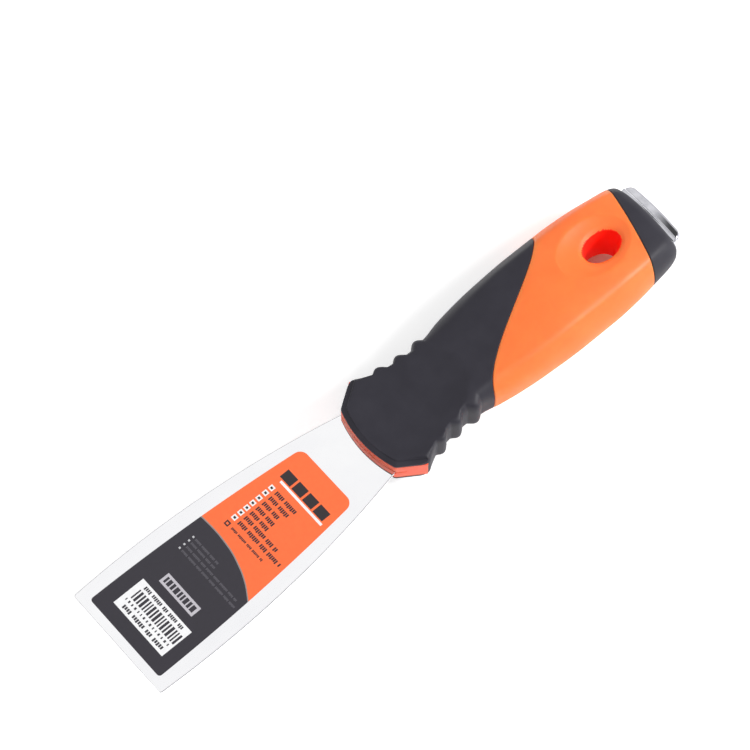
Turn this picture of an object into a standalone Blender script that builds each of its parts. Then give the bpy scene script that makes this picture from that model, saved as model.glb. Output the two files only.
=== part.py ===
"""A flexible putty knife: a flared steel blade, a two-colour moulded handle and a steel hammer cap.

Sizes here are in millimetres and become metres when a mesh is made. While it is modelled, the knife
lies along X with its front edge at x = -100, the blade's mid plane is z = 0, and its two faces share one
form. An empty then carries the parts to the knife's own frame: origin under the middle, resting plane
z = 0.
"""

import math

import bmesh
import bpy
from mathutils import Matrix, Vector

MM = 0.001
GAP = 0.3
FAR = 200.0
CLIP_STEP = 0.01
ROUND_STEPS = 48
CORNER_SHARES = (0.0, 0.1, 0.3, 0.6, 1.0)

# Blade
FRONT_X = -100.0
FRONT_WIDTH = 38.1
WIDEST_FROM_FRONT = 19.0
SIDE_RADIUS = 350.0
EDGE_THICKNESS = 0.45
BLADE_THICKNESS = 1.0
CORNER_RADIUS = 0.6
HEEL_X = -4.0
BLADE_BODY_START = 3.0
BLADE_STEPS = 24
TANG = ((-3.0, 8.2), (60.0, 8.2), (68.0, 10.3), (92.5, 10.3), (94.0, 5.0), (101.9, 5.0))
ANCHOR_HOLES_X = (22.0, 52.0)
ANCHOR_HOLE_DIAMETER = 6.0
ANCHOR_HOLE_STEPS = 32

# Label
LABEL_FRONT_X = -97.3
LABEL_REAR_X = -22.9
LABEL_FRONT_HALF_WIDTH = 15.15
LABEL_SIDE_RADIUS = 684.0
LABEL_THICKNESS = 0.1
LABEL_GAP = 0.05
LABEL_CORNER = 1.6
LABEL_BODY_START = 8.0
LABEL_STEPS = 10

# Nose: a plate with a bowed front, two slanted cheeks and a thumb pad on each face
NOSE_FRONT_X = -9.65
NOSE_ARC_RADIUS = 35.6
NOSE_CORNER = (-7.6, 11.9)
CHEEK_CORNER = (0.1, 17.1)
BAND_HALF_HEIGHT = 3.5
PAD_EDGE_HEIGHT = 4.3
PAD_HEIGHT = 5.0
PAD_CHAMFER = 1.6
NOSE_PLATE_OVERLAP = 1.4
NOSE_PLATE_SETBACK = 1.0

# Handle
HANDLE_END_X = 100.7
CORE_INSET_SIDE = 2.2
CORE_FRONT_X = -1.0
RIB_X = (8.5, 15.1, 21.8)
RIB_HEIGHT = 1.5
RIB_HALF_LENGTH = 2.4
RIDGE_SETBACK = 0.7
RIDGE_INSET_SHARE = 0.7
RIB_POWER = 14
RIB_ROUNDNESS = 0.6
SEAM_X = 46.15
SEAM_LEAN = (1.85, 0.0114, -0.00216)
REAR_SEAM_X = 93.5
REAR_SEAM_LEAN = 0.28

# Dished areas on both faces, as the open mouths of shallow ellipsoids: the mouth's x, y and z, its half
# length, its half width and the depth. An ellipsoid's middle is DISH_RISE depths above its mouth.
THUMB_DISH = (4.5, 0.0, 5.5, 14.5, 14.5, 1.0)
HOLE_SCOOP = (83.2, 0.8, 10.2, 12.1, 8.75, 1.9)
DISH_RISE = 2.2
DISH_TILT = math.radians(-3.0)

# Hanging hole
HOLE_X = 82.2
HOLE_HALF_LENGTH = 6.55
HOLE_HALF_WIDTH = 4.7
HOLE_WALL = 2.2

# Hammer cap: a cup whose skirt sits over a tongue of the core
CAP_FRONT_X = 96.6
CAP_END_X = 104.8
CAP_HALF_WIDTH = 11.5
CAP_HALF_HEIGHT = 4.3
CAP_WALL = 1.3
CAP_FLOOR_X = 102.4
CAP_CORNER = 3.4
CAP_EDGE = 1.1
CAP_CORNER_STEPS = 6
CAP_EDGE_STEPS = 3
BLOCK_START_X = 80.0

# Curves along X, each a list of (x, value), both in millimetres
SIDE = ((-14, 17.8), (0.1, 17.3), (3.4, 15.5), (6.2, 14.1), (11.8, 13.0), (18.4, 12.5), (25.0, 13.2),
        (31, 14.9), (38, 16.0), (47, 16.9), (61, 17.55), (73, 17.5), (82, 16.95), (90, 16.0),
        (96.5, 15.0), (99.4, 14.1), (HANDLE_END_X, 13.1))
TOP = ((-14, 5.0), (-5.4, 5.0), (6, 6.0), (19, 7.4), (28, 8.3), (44, 10.2), (62, 11.2), (76, 11.0),
       (90, 9.8), (97.5, 8.2), (99.8, 7.0), (HANDLE_END_X, 6.0))
RIDGE_Y = ((-14, 15.6), (0.1, 15.2), (8, 12.9), (15, 11.4), (22, 10.7), (28, 10.6), (33.5, 11.0),
           (40, 12.0), (47, 12.8), (56, 13.3), (78, 13.1), (88, 12.6), (96.5, 11.2), (99.4, 10.0),
           (HANDLE_END_X, 8.4))
CORE_INSET_TOP = ((10, 2.5), (28, 1.6))
CROWN = ((-14, 0.0), (2, 0.1), (19, 0.5), (30, 0.8), (44, 1.5), (62, 1.9), (88, 1.6),
         (HANDLE_END_X, 1.1))
FLANK_POWER = ((-14, 6.0), (22, 5.0), (32, 3.0), (60, 2.0), (90, 2.2), (HANDLE_END_X, 3.0))
# Where the handle's cross-sections lie: as listed at the ends, evenly over the ribs and the rear
NOSE_STATIONS = (-14.0, -5.0, 0.1, 1.8, 3.4, 4.8)
RIB_STATIONS = (6.2, 25.4, 28)
REAR_STATIONS = (28.0, 94.0, 22)
END_STATIONS = (96.0, 97.5, 98.6, 99.4, 100.1, HANDLE_END_X)
NOSE_STEPS = 12
SEAM_STEPS = 32
SEAM_REACH = 22.0
CORE_FORM_STEPS_FROM = 2.0
CORE_FORM_STEPS = 20
TOP_STEPS = 5
FLANK_STEPS = 6
HALF_THICKNESS = max(height for x, height in TOP)


# ---------- numbers ----------

def along(table, x):
    """The smooth curve through the points of a table, level at both ends."""
    if x <= table[0][0]:
        return table[0][1]
    last = len(table) - 1
    if x >= table[last][0]:
        return table[last][1]
    i = max(k for k in range(last) if table[k][0] <= x)
    step = table[i + 1][0] - table[i][0]
    t = (x - table[i][0]) / step
    start = slope_at(table, i) * step
    end = slope_at(table, i + 1) * step
    low, high = table[i][1], table[i + 1][1]
    return (low * (1 + 2 * t) * (1 - t) ** 2 + high * t * t * (3 - 2 * t)
            + start * t * (1 - t) ** 2 - end * t * t * (1 - t))


def slope_at(table, i):
    """A slope that never overshoots: none at a peak, else the harmonic mean of both sides."""
    if i == 0 or i == len(table) - 1:
        return 0.0
    before = (table[i][1] - table[i - 1][1]) / (table[i][0] - table[i - 1][0])
    after = (table[i + 1][1] - table[i][1]) / (table[i + 1][0] - table[i][0])
    if before * after <= 0:
        return 0.0
    return 2 * before * after / (before + after)


def steps(start, end, count):
    """Evenly spaced values from start to end, with both ends."""
    return [start + (end - start) * i / count for i in range(count + 1)]


def arc_drop(distance, radius):
    return radius - math.sqrt(radius * radius - distance * distance)


# ---------- meshes ----------

def new_object(name, collection, mesh_data):
    """An object made from a bmesh, whose points are in millimetres."""
    bmesh.ops.scale(mesh_data, vec=(MM, MM, MM), verts=mesh_data.verts)
    bmesh.ops.recalc_face_normals(mesh_data, faces=mesh_data.faces)
    mesh = bpy.data.meshes.new(name)
    mesh_data.to_mesh(mesh)
    mesh_data.free()
    made = bpy.data.objects.new(name, mesh)
    collection.objects.link(made)
    return made


def loft(name, collection, rings):
    """A closed solid through rings of points, all of one length, with a flat face over each end."""
    made = bmesh.new()
    loops = [[made.verts.new(point) for point in ring] for ring in rings]
    count = len(loops[0])
    for near, far in zip(loops, loops[1:]):
        for i in range(count):
            j = (i + 1) % count
            made.faces.new((near[i], near[j], far[j], far[i]))
    made.faces.new(loops[0])
    made.faces.new(loops[-1])
    return new_object(name, collection, made)


def prism(name, collection, outline, low, high):
    """A flat outline of (x, y) points, extruded from z = low to z = high."""
    made = bmesh.new()
    base = made.faces.new([made.verts.new((x, y, low)) for x, y in outline])
    raised = bmesh.ops.extrude_face_region(made, geom=[base])["geom"]
    top = [item for item in raised if isinstance(item, bmesh.types.BMVert)]
    bmesh.ops.translate(made, vec=(0, 0, high - low), verts=top)
    return new_object(name, collection, made)


def ellipsoid(name, collection, x, y, z, half_length, half_width, depth):
    """A cutter whose mouth at height z is the stated ellipse and whose bottom is depth below it."""
    rise = DISH_RISE * depth
    radius = depth + rise
    wide = 1 / math.sqrt(1 - (rise / radius) ** 2)
    made = bmesh.new()
    bmesh.ops.create_uvsphere(made, u_segments=ROUND_STEPS, v_segments=ROUND_STEPS // 2, radius=1.0)
    size = Matrix.Diagonal((half_length * wide, half_width * wide, radius, 1.0))
    place = Matrix.Translation((x, y, z + rise)) @ Matrix.Rotation(DISH_TILT, 4, "Y")
    bmesh.ops.transform(made, matrix=place @ size, verts=made.verts)
    return new_object(name, collection, made)


def rounded_block(name, collection, x_range, half_width, half_height, corner, edge):
    """A block along X with round corners in plan at its far end and small rounded edges."""
    start, end = x_range
    side = [(start, half_width)]
    for turn in steps(math.pi / 2, 0, CAP_CORNER_STEPS):
        side.append((end - corner + corner * math.cos(turn), half_width - corner + corner * math.sin(turn)))
    plan = side + [(x, -y) for x, y in reversed(side)]
    made = prism(name, collection, plan, -half_height, half_height)
    bevel = made.modifiers.new("edges", "BEVEL")
    bevel.width = edge * MM
    bevel.segments = CAP_EDGE_STEPS
    bevel.limit_method = "ANGLE"
    bevel.angle_limit = math.radians(50)
    return made


def cut(obj, operation, other):
    modifier = obj.modifiers.new(f"{operation.lower()}_{other.name}", "BOOLEAN")
    modifier.operation = operation
    modifier.object = other


def smooth(obj, degrees=32):
    obj.data.shade_smooth()
    obj.data.set_sharp_from_angle(angle=math.radians(degrees))


def material(name, colour, roughness, metallic=0.0):
    made = bpy.data.materials.new(name)
    made.use_nodes = True
    shader = made.node_tree.nodes["Principled BSDF"]
    shader.inputs["Base Color"].default_value = (*colour, 1.0)
    shader.inputs["Roughness"].default_value = roughness
    shader.inputs["Metallic"].default_value = metallic
    return made


# ---------- outlines ----------

def blade_half_width(x):
    """The blade's sides bow gently: each is one arc, widest a little behind the front edge."""
    widest = FRONT_WIDTH / 2 + arc_drop(WIDEST_FROM_FRONT, SIDE_RADIUS)
    half = widest - arc_drop(x - FRONT_X - WIDEST_FROM_FRONT, SIDE_RADIUS)
    into_corner = CORNER_RADIUS - (x - FRONT_X)
    if into_corner > 0:
        half -= arc_drop(min(into_corner, CORNER_RADIUS * 0.999), CORNER_RADIUS)
    return half


def blade_half_thickness(x):
    """Ground thinner towards the front edge, and even from the nose back."""
    share = min(1.0, (x - FRONT_X) / (NOSE_FRONT_X - FRONT_X))
    return (EDGE_THICKNESS + (BLADE_THICKNESS - EDGE_THICKNESS) * share) / 2


def label_half_width(x):
    half = LABEL_FRONT_HALF_WIDTH - arc_drop(x - LABEL_FRONT_X, LABEL_SIDE_RADIUS)
    into_corner = LABEL_CORNER - min(x - LABEL_FRONT_X, LABEL_REAR_X - x)
    if into_corner > 0:
        half -= arc_drop(min(into_corner, LABEL_CORNER * 0.999), LABEL_CORNER)
    return half


def nose_corners(inset):
    """The two corners of one side of the nose, moved inwards by inset."""
    front, rear = Vector(NOSE_CORNER), Vector(CHEEK_CORNER)
    along_cheek = (rear - front).normalized()
    inwards = Vector((along_cheek.y, -along_cheek.x)) * inset
    centre = Vector((NOSE_FRONT_X + NOSE_ARC_RADIUS, 0.0))
    start = front + inwards - centre
    middle = start.dot(along_cheek)
    reach = -middle - math.sqrt(middle ** 2 - start.length_squared + (NOSE_ARC_RADIUS - inset) ** 2)
    return front + inwards + along_cheek * reach, rear + inwards


def nose_outline(inset, rear):
    """The nose seen from above: a bowed front, two slanted cheeks, then the points of rear."""
    front_corner, cheek_corner = nose_corners(inset)
    radius = NOSE_ARC_RADIUS - inset
    half_angle = math.asin(front_corner.y / radius)
    middle = NOSE_FRONT_X + NOSE_ARC_RADIUS
    front = [(middle - radius * math.cos(a), radius * math.sin(a))
             for a in steps(-half_angle, half_angle, NOSE_STEPS)]
    side = [tuple(cheek_corner)] + rear
    return front + side + [(x, -y) for x, y in reversed(side)]


def seam_x(y):
    """Where the front grip ends, as one S-shaped line across the handle."""
    return SEAM_X + sum(lean * y ** (power + 1) for power, lean in enumerate(SEAM_LEAN))


def rear_seam_x(y):
    return REAR_SEAM_X + REAR_SEAM_LEAN * y


def beside_seam(seam, side):
    """The area in front of a seam (side -1) or behind it (side 1), half a gap away from it."""
    line = [(seam(y) + side * GAP / 2, y) for y in steps(-SEAM_REACH, SEAM_REACH, SEAM_STEPS)]
    return [(side * FAR, -SEAM_REACH)] + line + [(side * FAR, SEAM_REACH)]


# ---------- the handle's form ----------

def rib(x):
    """How far the three upright ribs stand out of the flank at x."""
    for centre in RIB_X:
        off = abs(x - centre) / RIB_HALF_LENGTH
        if off < 1:
            return RIB_HEIGHT * (0.5 + 0.5 * math.cos(math.pi * off)) ** RIB_ROUNDNESS
    return 0.0


def handle_ring(x, side_inset=0.0, top_inset=0.0, ribs=True):
    """One cross-section: a crowned top down to a ridge, then a flank that turns upright at mid height."""
    flank = along(SIDE, x) - side_inset
    top = along(TOP, x) - top_inset
    ridge_y = min(along(RIDGE_Y, x) - side_inset * RIDGE_INSET_SHARE, flank - RIDGE_SETBACK)
    ridge_z = top - along(CROWN, x)
    power = along(FLANK_POWER, x)
    quarter = [(ridge_y * t, top - (top - ridge_z) * t * t) for t in steps(0, 1, TOP_STEPS)]
    for turn in steps(0, math.pi / 2, FLANK_STEPS)[1:]:
        level = math.cos(turn)
        y = ridge_y + (flank - ridge_y) * (1 - level ** power)
        if ribs:
            y += rib(x) * (1 - level ** RIB_POWER)
        quarter.append((y, ridge_z * level))
    half = quarter + [(y, -z) for y, z in reversed(quarter[:-1])]
    ring = half + [(-y, z) for y, z in reversed(half[1:-1])]
    return [(x, y, z) for y, z in ring]


def handle_stations():
    return [*NOSE_STATIONS, *steps(*RIB_STATIONS), *steps(*REAR_STATIONS), *END_STATIONS]


def handle_form(name, cutters):
    """The whole outside of the handle, before it is parted into core and grips."""
    return loft(name, cutters, [handle_ring(x) for x in handle_stations()])


def core_form(name, cutters, grow=0.0):
    """The core where the grips cover it."""
    inside = steps(CORE_FORM_STEPS_FROM, REAR_SEAM_X, CORE_FORM_STEPS)
    rings = []
    for x in [CORE_FRONT_X - grow] + inside + [CAP_FRONT_X - GAP + grow]:
        top_inset = along(CORE_INSET_TOP, x) - grow
        rings.append(handle_ring(x, CORE_INSET_SIDE - grow, top_inset, ribs=False))
    return loft(name, cutters, rings)


def nose_clip(name, cutters):
    """A tall block in the nose's outline, stepped inwards over the pads' chamfer."""
    levels = ((-FAR, PAD_CHAMFER), (-PAD_HEIGHT, PAD_CHAMFER), (-PAD_EDGE_HEIGHT, 0.0),
              (PAD_EDGE_HEIGHT, 0.0), (PAD_HEIGHT, PAD_CHAMFER), (FAR, PAD_CHAMFER))
    rings = []
    for z, inset in levels:
        beside_cheek = (nose_corners(inset)[1].x + CLIP_STEP, FAR)
        rings.append([(x, y, z) for x, y in nose_outline(inset, [beside_cheek, (FAR, FAR)])])
    return loft(name, cutters, rings)


def nose_plate(name, cutters, grow=0.0):
    """The core's nose: the band that shows between the two thumb pads."""
    rear = (CHEEK_CORNER[0] + NOSE_PLATE_OVERLAP + grow, CHEEK_CORNER[1] - NOSE_PLATE_SETBACK)
    half = BAND_HALF_HEIGHT + grow
    return prism(name, cutters, nose_outline(-grow, [rear]), -half, half)


# ---------- parts ----------

def make_blade(parts, cutters):
    front = [FRONT_X + CORNER_RADIUS * share for share in CORNER_SHARES]
    body = steps(FRONT_X + BLADE_BODY_START, HEEL_X, BLADE_STEPS)
    rings = []
    for x, half in [(x, blade_half_width(x)) for x in front + body] + list(TANG):
        thick = blade_half_thickness(x)
        rings.append([(x, half, thick), (x, half, -thick), (x, -half, -thick), (x, -half, thick)])
    blade = loft("blade", parts, rings)
    for x in ANCHOR_HOLES_X:
        cut(blade, "DIFFERENCE", disc_cutter(f"anchor_{x:.0f}", cutters, x, ANCHOR_HOLE_DIAMETER / 2))
    cut(blade, "DIFFERENCE", hole_cutter("tang_opening", cutters, HOLE_WALL + GAP))
    blade.data.materials.append(material("polished_steel", (0.86, 0.86, 0.88), 0.06, 1.0))
    return blade


def disc_cutter(name, cutters, x, radius):
    made = bmesh.new()
    bmesh.ops.create_cone(made, cap_ends=True, segments=ANCHOR_HOLE_STEPS, radius1=radius, radius2=radius,
                          depth=HALF_THICKNESS)
    bmesh.ops.translate(made, vec=(x, 0, 0), verts=made.verts)
    return new_object(name, cutters, made)


def hole_cutter(name, cutters, grow=0.0):
    """An upright oval column on the hanging hole's axis."""
    outline = []
    for angle in steps(0, 2 * math.pi, ROUND_STEPS)[:-1]:
        outline.append((HOLE_X + (HOLE_HALF_LENGTH + grow) * math.cos(angle),
                        (HOLE_HALF_WIDTH + grow) * math.sin(angle)))
    return prism(name, cutters, outline, -FAR, FAR)


def tang_corners():
    """Each point of the tang's side, and whether the tang is at least as wide just ahead of it."""
    ahead = [blade_half_width(HEEL_X)] + [half for x, half in TANG]
    behind = [half for x, half in TANG[1:]] + [TANG[-1][1]]
    return [(x, half, wide >= half and half >= next_half)
            for (x, half), wide, next_half in zip(TANG, ahead, behind)]


def make_label(parts):
    ends = [LABEL_CORNER * share for share in CORNER_SHARES]
    places = [LABEL_FRONT_X + d for d in ends]
    places += steps(LABEL_FRONT_X + LABEL_BODY_START, LABEL_REAR_X - LABEL_BODY_START, LABEL_STEPS)
    places += [LABEL_REAR_X - d for d in reversed(ends)]
    rings = []
    for x in places:
        half = label_half_width(x)
        low = blade_half_thickness(x) + LABEL_GAP
        high = low + LABEL_THICKNESS
        rings.append([(x, half, high), (x, half, low), (x, -half, low), (x, -half, high)])
    label = loft("blade_label", parts, rings)
    label.data.materials.append(material("printed_label", (0.95, 0.28, 0.08), 0.45))
    return label


def tang_slot(name, cutters):
    """The room that the core keeps for the tang: its outline grown by the gap, less the pegs in its holes."""
    half = BLADE_THICKNESS / 2 + GAP
    heel = [(x, blade_half_width(x) + GAP) for x in (NOSE_FRONT_X - 1.0, HEEL_X + GAP)]
    tang = [(x + GAP if wide_ahead else x - GAP, half + GAP) for x, half, wide_ahead in tang_corners()]
    right = heel + tang + [(CAP_END_X, tang[-1][1])]
    outline = right + [(x, -y) for x, y in reversed(right)]
    slot = prism(name, cutters, outline, -half, half)
    for x in ANCHOR_HOLES_X:
        peg = disc_cutter(f"peg_{x:.0f}", cutters, x, ANCHOR_HOLE_DIAMETER / 2 - GAP)
        cut(slot, "DIFFERENCE", peg)
    cut(slot, "DIFFERENCE", hole_cutter("hole_wall", cutters, HOLE_WALL))
    return slot


def dishes(cutters, name, spec):
    """The same hollow on the upper and the lower face."""
    upper = ellipsoid(f"{name}_upper", cutters, *spec)
    lower = ellipsoid(f"{name}_lower", cutters, *spec)
    lower.data.transform(Matrix.Diagonal((1.0, 1.0, -1.0, 1.0)))
    lower.data.flip_normals()
    return upper, lower


def make_core(parts, cutters):
    core = handle_form("handle_core", parts)
    cut(core, "INTERSECT", seam_block("behind_seam", cutters, seam_x, 1))
    cut(core, "INTERSECT", seam_block("ahead_of_rear_seam", cutters, rear_seam_x, -1))
    for dish in dishes(cutters, "hole_scoop", HOLE_SCOOP):
        cut(core, "DIFFERENCE", dish)
    cut(core, "UNION", core_form("core_under_grips", cutters))
    cut(core, "UNION", nose_plate("core_nose", cutters))
    inner_width, inner_height = CAP_HALF_WIDTH - CAP_WALL - GAP, CAP_HALF_HEIGHT - CAP_WALL - GAP
    cut(core, "UNION", block("core_tongue", cutters, CAP_FLOOR_X - GAP, inner_width, inner_height))
    cut(core, "DIFFERENCE", tang_slot("tang_slot", cutters))
    cut(core, "DIFFERENCE", hole_cutter("hanging_hole", cutters))
    core.data.materials.append(material("orange_plastic", (0.95, 0.22, 0.04), 0.42))
    return core


def seam_block(name, cutters, seam, side):
    return prism(name, cutters, beside_seam(seam, side), -FAR, FAR)


def block(name, cutters, end, half_width, half_height):
    """A plain block from inside the handle's rear up to x = end."""
    made = bmesh.new()
    bmesh.ops.create_cube(made, size=2.0)
    half_length = (end - BLOCK_START_X) / 2
    size = Matrix.Diagonal((half_length, half_width, half_height, 1.0))
    place = Matrix.Translation((BLOCK_START_X + half_length, 0, 0))
    bmesh.ops.transform(made, matrix=place @ size, verts=made.verts)
    return new_object(name, cutters, made)


def make_front_grip(parts, cutters):
    grip = handle_form("front_grip", parts)
    cut(grip, "INTERSECT", seam_block("ahead_of_seam", cutters, seam_x, -1))
    cut(grip, "INTERSECT", nose_clip("nose_shape", cutters))
    for dish in dishes(cutters, "thumb_dish", THUMB_DISH):
        cut(grip, "DIFFERENCE", dish)
    cut(grip, "DIFFERENCE", core_form("room_for_core", cutters, GAP))
    cut(grip, "DIFFERENCE", nose_plate("room_for_nose", cutters, GAP))
    grip.data.materials.append(material("black_rubber", (0.045, 0.042, 0.052), 0.6))
    return grip


def make_rear_grip(parts, cutters):
    grip = handle_form("rear_grip", parts)
    cut(grip, "INTERSECT", seam_block("behind_rear_seam", cutters, rear_seam_x, 1))
    cut(grip, "DIFFERENCE", core_form("room_for_core_end", cutters, GAP))
    cut(grip, "DIFFERENCE", block("room_for_cap", cutters, FAR, CAP_HALF_WIDTH + GAP, CAP_HALF_HEIGHT + GAP))
    grip.data.materials.append(material("black_rubber_rear", (0.045, 0.042, 0.052), 0.6))
    return grip


def make_butt_cap(parts, cutters):
    cap = rounded_block("butt_cap", parts, (CAP_FRONT_X, CAP_END_X), CAP_HALF_WIDTH, CAP_HALF_HEIGHT,
                        CAP_CORNER, CAP_EDGE)
    cavity = block("cap_cavity", cutters, CAP_FLOOR_X, CAP_HALF_WIDTH - CAP_WALL, CAP_HALF_HEIGHT - CAP_WALL)
    cut(cap, "DIFFERENCE", cavity)
    cap.data.materials.append(material("cap_steel", (0.62, 0.62, 0.65), 0.14, 1.0))
    return cap


def main():
    for old in list(bpy.data.objects):
        bpy.data.objects.remove(old)
    scene = bpy.context.scene
    scene.unit_settings.system = "METRIC"
    scene.unit_settings.scale_length = 1.0
    parts = bpy.data.collections.new("putty_knife")
    cutters = bpy.data.collections.new("putty_knife_cutters")
    scene.collection.children.link(parts)
    scene.collection.children.link(cutters)

    made = [make_blade(parts, cutters), make_label(parts), make_core(parts, cutters),
            make_front_grip(parts, cutters), make_rear_grip(parts, cutters), make_butt_cap(parts, cutters)]
    frame = bpy.data.objects.new("knife_frame", None)
    parts.objects.link(frame)
    for obj in list(cutters.objects) + made:
        obj.parent = frame
    for obj in cutters.objects:
        obj.hide_render = True
        obj.display_type = "WIRE"
    for obj in made:
        smooth(obj)
    frame.location = (-(FRONT_X + CAP_END_X) / 2 * MM, 0.0, HALF_THICKNESS * MM)


main()
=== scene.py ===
import math

import bmesh
import bpy
import numpy as np
from mathutils import Matrix, Vector
from mathutils.geometry import delaunay_2d_cdt


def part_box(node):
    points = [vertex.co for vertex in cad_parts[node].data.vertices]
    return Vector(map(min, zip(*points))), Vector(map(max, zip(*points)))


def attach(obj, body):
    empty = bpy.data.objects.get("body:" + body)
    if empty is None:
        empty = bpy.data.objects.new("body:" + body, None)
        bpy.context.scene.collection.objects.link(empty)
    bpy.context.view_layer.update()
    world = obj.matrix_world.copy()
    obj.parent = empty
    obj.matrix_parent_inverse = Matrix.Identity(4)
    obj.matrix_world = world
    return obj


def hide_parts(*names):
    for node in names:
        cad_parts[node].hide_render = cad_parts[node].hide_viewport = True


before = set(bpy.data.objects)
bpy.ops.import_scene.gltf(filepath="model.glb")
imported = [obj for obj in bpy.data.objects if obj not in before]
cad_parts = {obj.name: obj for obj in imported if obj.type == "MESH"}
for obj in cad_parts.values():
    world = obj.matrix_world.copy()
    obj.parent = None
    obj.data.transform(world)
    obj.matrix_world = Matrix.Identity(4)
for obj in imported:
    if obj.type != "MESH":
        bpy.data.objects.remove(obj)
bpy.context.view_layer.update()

# ---------------------------------------------------------------------------------------------------
# Shapes are worked out in millimetres with the blade's front edge at x = -100 and its mid plane at
# z = 0, and then moved to the CAD frame. The handle's upper half is worked out and mirrored below.
# ---------------------------------------------------------------------------------------------------

MM = 0.001
FRONT_X = -100.0
BLADE_LOW, BLADE_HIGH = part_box("blade")
TO_FRAME = Vector((BLADE_LOW.x - FRONT_X * MM, 0.0, (BLADE_LOW.z + BLADE_HIGH.z) / 2))
FAR = 200.0
SEAM_GAP = 0.06
HIDDEN_GAP = 0.15

# A distance that keeps two faces out of one plane, and how much of a corner's radius its arc runs over
HAIR = 0.02
CORNER_REACH = 0.9999

OVAL_STEPS = 72
SMOOTH_ANGLE = 35

# Blade
FRONT_WIDTH = 38.1
WIDEST_FROM_FRONT = 19.0
SIDE_RADIUS = 350.0
EDGE_THICKNESS = 0.45
BLADE_THICKNESS = 1.0
BLADE_CORNER = 0.6
BLADE_CORNER_REACH = 0.999
BLADE_CORNER_PLACES = (0.0, 0.04, 0.12, 0.3, 0.6)
BLADE_BODY_START = 1.5
BLADE_SPACING = 0.9
BLADE_EDGE = 0.14
BLADE_EDGE_BOW = 0.3
BLADE_SMOOTH_ANGLE = 12
# Faces that get the blade's second material, a painted dark shade line along its edges: normals that point
# less than these towards y and towards z
DARK_EDGE_MAX_Y = 0.93
DARK_EDGE_MAX_Z = 0.97
HEEL_X = -4.0
TANG = ((-3.0, 8.2), (60.0, 8.2), (68.0, 10.3), (92.5, 10.3), (94.0, 5.0), (101.9, 5.0))
ANCHOR_HOLES_X = (22.0, 52.0)
ANCHOR_HOLE_RADIUS = 3.0

# Room for the tang: how far ahead of the nose it starts, and which way along x each corner clears the tang
SLOT_LEAD = 1.0
SLOT_WAYS = (1, -1, -1, 1, 1, 1)

# Label
LABEL_FRONT_X = -97.3
LABEL_REAR_X = -22.9
LABEL_FRONT_HALF_WIDTH = 15.15
LABEL_SIDE_RADIUS = 684.0
LABEL_FRONT_CORNER = 1.0
LABEL_REAR_CORNER = 2.4
LABEL_CORNER_SHARES = (0.0, 0.02, 0.08, 0.18, 0.32, 0.5, 0.72, 1.0)
LABEL_BODY_START = 4.0
LABEL_SPACING = 2.0
LABEL_BOTTOM = 0.02
LABEL_TOP = 0.12
LABEL_WELD = 0.0001

# Nose
NOSE_FRONT_X = -9.65
NOSE_ARC_RADIUS = 35.6
NOSE_CORNER = (-7.6, 11.9)
NOSE_ROUND = 0.5
NOSE_STEPS = 40
NOSE_ROUND_STEPS = 6
CHEEK_CORNER = (0.1, 17.1)
CHEEK_BLEND = 1.4
BAND_HALF_HEIGHT = 3.5
BAND_EDGE = 0.25
BAND_END_X = 3.4
PLATE_OVERLAP = 1.4
PLATE_SETBACK = 1.0
CHEEK_SLIT_X = (-7.6, -4.8)
CHEEK_SLIT_HALF_HEIGHT = 0.2

# The edge of a thumb pad: height above the mid plane, how far it stands back from the nose's outline
PAD_EDGE = ((4.0, 0.0), (4.16, 0.05), (4.24, 0.18), (4.5, 1.3), (4.56, 1.42), (4.85, 1.62), (4.96, 1.72),
            (5.0, 1.9))

# Handle
HANDLE_END_X = 100.7
RIB_X = (8.5, 15.1, 21.8)
RIB_HEIGHT = 1.5
RIB_HALF_LENGTH = 2.4
RIB_POWER = 14
RIB_ROUNDNESS = 0.6
RIDGE_SETBACK = 0.7
RIDGE_INSET_SHARE = 0.7
SEAM_X = 46.15
SEAM_LEAN = (1.85, 0.0114, -0.00216)
REAR_SEAM_X = 93.5
REAR_SEAM_LEAN = 0.28
SEAM_ROUND = 0.3
SEAM_ROUND_STEPS = 4
END_ROUND = 0.45
END_ROUND_STEPS = 8
CORE_INSET_SIDE = 2.2

# Curves along x
SIDE = ((-14, 17.8), (0.1, 17.3), (BAND_END_X, 15.5), (6.2, 14.1), (11.8, 13.0), (18.4, 12.5), (25.0, 13.2),
        (31, 14.9), (38, 16.0), (47, 16.9), (61, 17.55), (73, 17.5), (82, 16.95), (90, 16.0),
        (96.5, 15.0), (99.4, 14.1), (HANDLE_END_X, 13.1))
TOP = ((-14, 5.0), (-5.4, 5.0), (6, 6.0), (19, 7.4), (28, 8.3), (44, 10.2), (62, 11.2), (76, 11.0),
       (90, 9.8), (97.5, 8.2), (99.8, 7.0), (HANDLE_END_X, 6.0))
RIDGE_Y = ((-14, 15.6), (0.1, 15.2), (8, 12.9), (15, 11.4), (22, 10.7), (28, 10.6), (33.5, 11.0),
           (40, 12.0), (47, 12.8), (56, 13.3), (78, 13.1), (88, 12.6), (96.5, 11.2), (99.4, 10.0),
           (HANDLE_END_X, 8.4))
CORE_INSET_TOP = ((10, 2.5), (28, 1.6))
CROWN = ((-14, 0.0), (2, 0.1), (19, 0.5), (30, 0.8), (44, 1.5), (62, 1.9), (88, 1.6),
         (HANDLE_END_X, 1.1))
FLANK_POWER = ((-14, 6.0), (22, 5.0), (32, 3.0), (60, 2.0), (90, 2.2), (HANDLE_END_X, 3.0))

# A ring round the handle: q runs from the middle of the top (0) over the ridge to mid height on the side (1)
RIDGE_Q = 0.5
RIDGE_WEIGHTS = (1, 2, 3, 3, 3, 2, 1)
RIDGE_SPREAD = 0.016
UPPER_STEPS = 104
RING_PASSES = 10

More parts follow.
